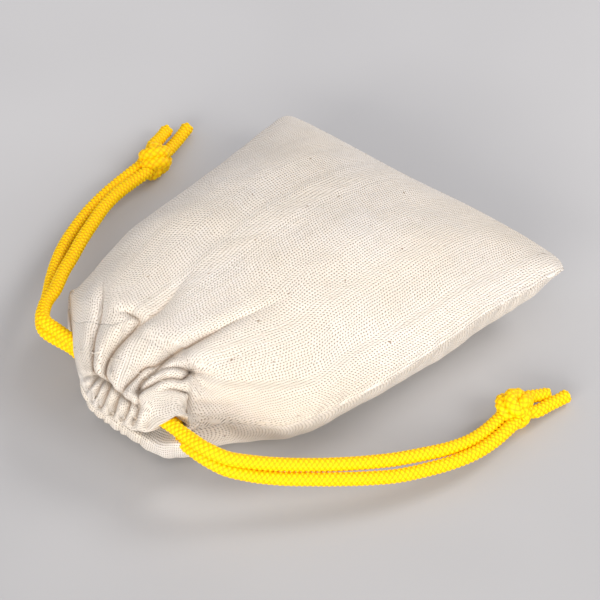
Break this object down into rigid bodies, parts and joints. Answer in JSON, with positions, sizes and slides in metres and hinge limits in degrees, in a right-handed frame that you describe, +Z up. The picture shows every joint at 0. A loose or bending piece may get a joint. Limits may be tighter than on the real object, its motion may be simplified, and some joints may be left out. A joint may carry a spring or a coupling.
{
  "type": "treat pouch",
  "caption": "Soft unbleached cotton treat pouch lying filled on its back, with a gathered mouth, hemmed casings and braided drawcords that end in knots.",
  "frame": {"origin": "middle of the pouch's own box, on the surface that it lies on", "axes": "+Y from the mouth to the bottom fold, +X across the pouch to its right side seam, +Z up out of the front panel"},
  "size_m": [0.1122, 0.089, 0.0264],
  "materials": {
    "muslin": "unbleached plain-weave cotton with seed flecks, matt",
    "muslin_hem": "the same cotton, folded double at a hem or seam",
    "thread": "natural cotton sewing thread",
    "drawcord": "bright yellow braided polyester cord with a soft sheen"
  },
  "bodies": {
    "pouch": {"back_panel": "muslin", "front_panel": "muslin", "left_side_seam": "muslin_hem", "right_side_seam": "muslin_hem", "left_seam_stitching": "thread", "right_seam_stitching": "thread", "back_casing": "muslin", "back_casing_stitching": "thread", "back_slit_hems": "muslin_hem"},
    "front_mouth": {"front_casing": "muslin", "front_casing_stitching": "thread", "front_slit_hems": "muslin_hem"},
    "right_front_run": {"right_cord_front_run": "drawcord"},
    "left_front_run": {"left_cord_front_run": "drawcord"},
    "right_cord": {"right_cord_back_run": "drawcord", "right_cord_exit": "drawcord"},
    "left_cord": {"left_cord_back_run": "drawcord", "left_cord_exit": "drawcord"},
    "right_cord_end": {"right_cord_strand_a": "drawcord", "right_cord_strand_b": "drawcord", "right_cord_knot": "drawcord", "right_cord_tail_a": "drawcord", "right_cord_tail_b": "drawcord"},
    "left_cord_end": {"left_cord_strand_a": "drawcord", "left_cord_strand_b": "drawcord", "left_cord_knot": "drawcord", "left_cord_tail_a": "drawcord", "left_cord_tail_b": "drawcord"}
  },
  "joints": [
    {"name": "mouth_open", "type": "hinge", "parent": "pouch", "child": "front_mouth", "pos_m": [-0.0045, -0.03145, 0.015], "axis": [-1, 0, 0], "range_deg": [0, 16]},
    {"name": "right_cord_draw", "type": "slide", "parent": "pouch", "child": "right_cord", "axis": [-1, 0, 0], "range_m": [0, 0.002]},
    {"name": "left_cord_draw", "type": "slide", "parent": "pouch", "child": "left_cord", "axis": [1, 0, 0], "range_m": [0, 0.002]},
    {"name": "right_front_draw", "type": "slide", "parent": "front_mouth", "child": "right_front_run", "axis": [-1, 0, 0], "range_m": [0, 0.002]},
    {"name": "left_front_draw", "type": "slide", "parent": "front_mouth", "child": "left_front_run", "axis": [1, 0, 0], "range_m": [0, 0.002]},
    {"name": "right_cord_swing", "type": "hinge", "parent": "right_cord", "child": "right_cord_end", "pos_m": [0.0155, -0.0398, 0.0113], "axis": [0, 0, 1], "range_deg": [-85, 0]},
    {"name": "left_cord_swing", "type": "hinge", "parent": "left_cord", "child": "left_cord_end", "pos_m": [-0.026, -0.0368, 0.0113], "axis": [0, 0, 1], "range_deg": [0, 85]}
  ],
  "couplings": [
    {"joint": "mouth_open", "follows": "right_cord_draw", "rad_per_m": 139.63},
    {"joint": "left_cord_draw", "follows": "right_cord_draw", "ratio": 1},
    {"joint": "right_front_draw", "follows": "right_cord_draw", "ratio": 1},
    {"joint": "left_front_draw", "follows": "right_cord_draw", "ratio": 1}
  ]
}
